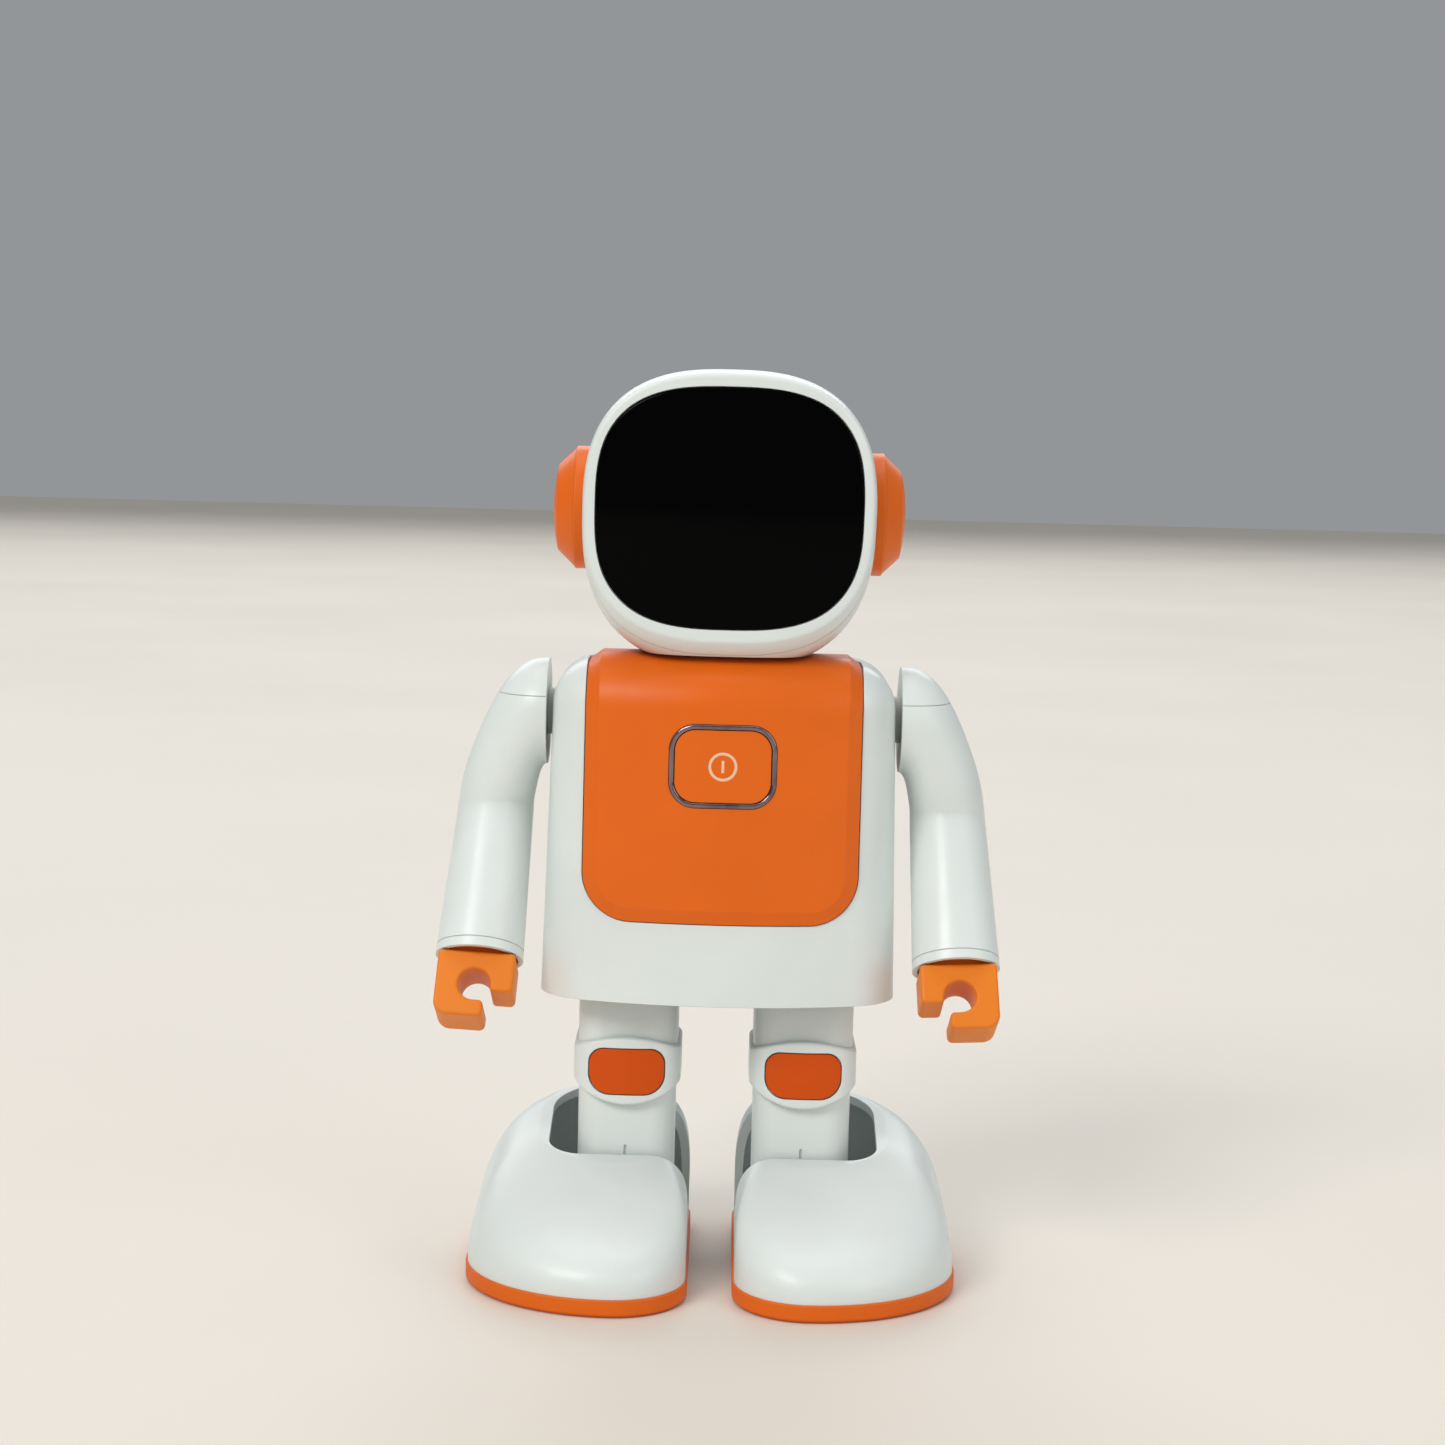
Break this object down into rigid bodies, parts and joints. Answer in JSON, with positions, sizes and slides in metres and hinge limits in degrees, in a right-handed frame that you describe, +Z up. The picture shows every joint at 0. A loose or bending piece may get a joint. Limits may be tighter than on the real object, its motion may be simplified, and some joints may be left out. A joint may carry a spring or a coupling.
{
  "type": "toy robot",
  "caption": "Toy robot with a glossy rounded face, boxy body with a chest panel and power button, swinging arms with clip hands, and walking legs on large shoes.",
  "frame": {"origin": "on the floor under the middle of the robot's standing footprint", "axes": "+X to the robot's own left, -Y the way it faces, +Z up"},
  "size_m": [0.1464, 0.103, 0.2355],
  "materials": {
    "white_shell": "satin off-white moulded plastic",
    "orange_panel": "satin orange moulded plastic",
    "orange_soft": "soft matt orange plastic",
    "chrome_trim": "polished plated trim",
    "icon_print": "pale inlaid plastic",
    "face_lens": "polished black plastic",
    "inner_plastic": "dark engineering plastic",
    "battery_wrap": "shrink film",
    "circuit_board": "solder mask",
    "servo_case": "black moulded case",
    "steel": "plated steel"
  },
  "bodies": {
    "torso": {"torso_front_shell": "white_shell", "torso_rear_shell": "white_shell", "torso_base_plate": "inner_plastic", "chest_panel": "orange_panel", "button_ring": "chrome_trim", "battery_pack": "battery_wrap", "main_board": "circuit_board", "button_switch": "circuit_board", "speaker_driver": "inner_plastic", "charging_socket": "inner_plastic", "neck_servo": "servo_case", "neck_collar": "white_shell", "shoulder_motor_left": "servo_case", "shoulder_motor_right": "servo_case", "hip_servo_left": "servo_case", "hip_servo_right": "servo_case", "torso_screws": "steel"},
    "power_button": {"power_button": "orange_panel", "power_icon": "icon_print"},
    "head": {"head_bezel": "white_shell", "face_lens": "face_lens", "display_board": "circuit_board", "head_rear_shell": "white_shell", "neck_post": "inner_plastic", "ear_ring_left": "orange_panel", "ear_ring_right": "orange_panel", "ear_cap_left": "orange_panel", "ear_cap_right": "orange_panel"},
    "arm_left": {"shoulder_cap_left": "white_shell", "sleeve_left": "white_shell", "shoulder_hub_left": "white_shell"},
    "hand_left": {"hand_left": "orange_soft"},
    "leg_left": {"thigh_left": "white_shell", "hip_horn_left": "inner_plastic", "shin_left": "white_shell", "knee_pod_left": "white_shell", "knee_pad_left": "orange_panel", "ankle_servo_left": "servo_case"},
    "foot_left": {"foot_shell_left": "white_shell", "sole_left": "orange_soft", "insole_left": "white_shell", "ankle_bracket_left": "steel", "ankle_pin_left": "steel", "foot_screws_left": "steel"},
    "arm_right": {"shoulder_cap_right": "white_shell", "sleeve_right": "white_shell", "shoulder_hub_right": "white_shell"},
    "hand_right": {"hand_right": "orange_soft"},
    "leg_right": {"thigh_right": "white_shell", "hip_horn_right": "inner_plastic", "shin_right": "white_shell", "knee_pod_right": "white_shell", "knee_pad_right": "orange_panel", "ankle_servo_right": "servo_case"},
    "foot_right": {"foot_shell_right": "white_shell", "sole_right": "orange_soft", "insole_right": "white_shell", "ankle_bracket_right": "steel", "ankle_pin_right": "steel", "foot_screws_right": "steel"}
  },
  "joints": [
    {"name": "power_press", "type": "slide", "parent": "torso", "child": "power_button", "axis": [0, 1, 0], "range_m": [0, 0.0008], "stiffness_N_per_m": 300},
    {"name": "head_turn", "type": "hinge", "parent": "torso", "child": "head", "pos_m": [0, 0.009, 0.165], "axis": [0, 0, 1], "range_deg": [-60, 60]},
    {"name": "shoulder_left", "type": "hinge", "parent": "torso", "child": "arm_left", "pos_m": [0.0462, 0.009, 0.1453], "axis": [-1, 0, 0], "range_deg": [-30, 150]},
    {"name": "wrist_left", "type": "hinge", "parent": "arm_left", "child": "hand_left", "pos_m": [0.0618, -0.011, 0.0823], "axis": [0.0496, -0.472, -0.8802], "range_deg": [-90, 90]},
    {"name": "hip_left", "type": "hinge", "parent": "torso", "child": "leg_left", "pos_m": [0.0231, 0.009, 0.077], "axis": [0, 0, 1], "range_deg": [-4, 8]},
    {"name": "ankle_left", "type": "hinge", "parent": "leg_left", "child": "foot_left", "pos_m": [0.0231, 0.009, 0.0195], "axis": [0, 1, 0], "range_deg": [-12, 6]},
    {"name": "shoulder_right", "type": "hinge", "parent": "torso", "child": "arm_right", "pos_m": [-0.0462, 0.009, 0.1453], "axis": [-1, 0, 0], "range_deg": [-30, 150]},
    {"name": "wrist_right", "type": "hinge", "parent": "arm_right", "child": "hand_right", "pos_m": [-0.0618, -0.011, 0.0823], "axis": [-0.0496, -0.472, -0.8802], "range_deg": [-90, 90]},
    {"name": "hip_right", "type": "hinge", "parent": "torso", "child": "leg_right", "pos_m": [-0.0231, 0.009, 0.077], "axis": [0, 0, -1], "range_deg": [-4, 8]},
    {"name": "ankle_right", "type": "hinge", "parent": "leg_right", "child": "foot_right", "pos_m": [-0.0231, 0.009, 0.0195], "axis": [0, -1, 0], "range_deg": [-12, 6]}
  ]
}
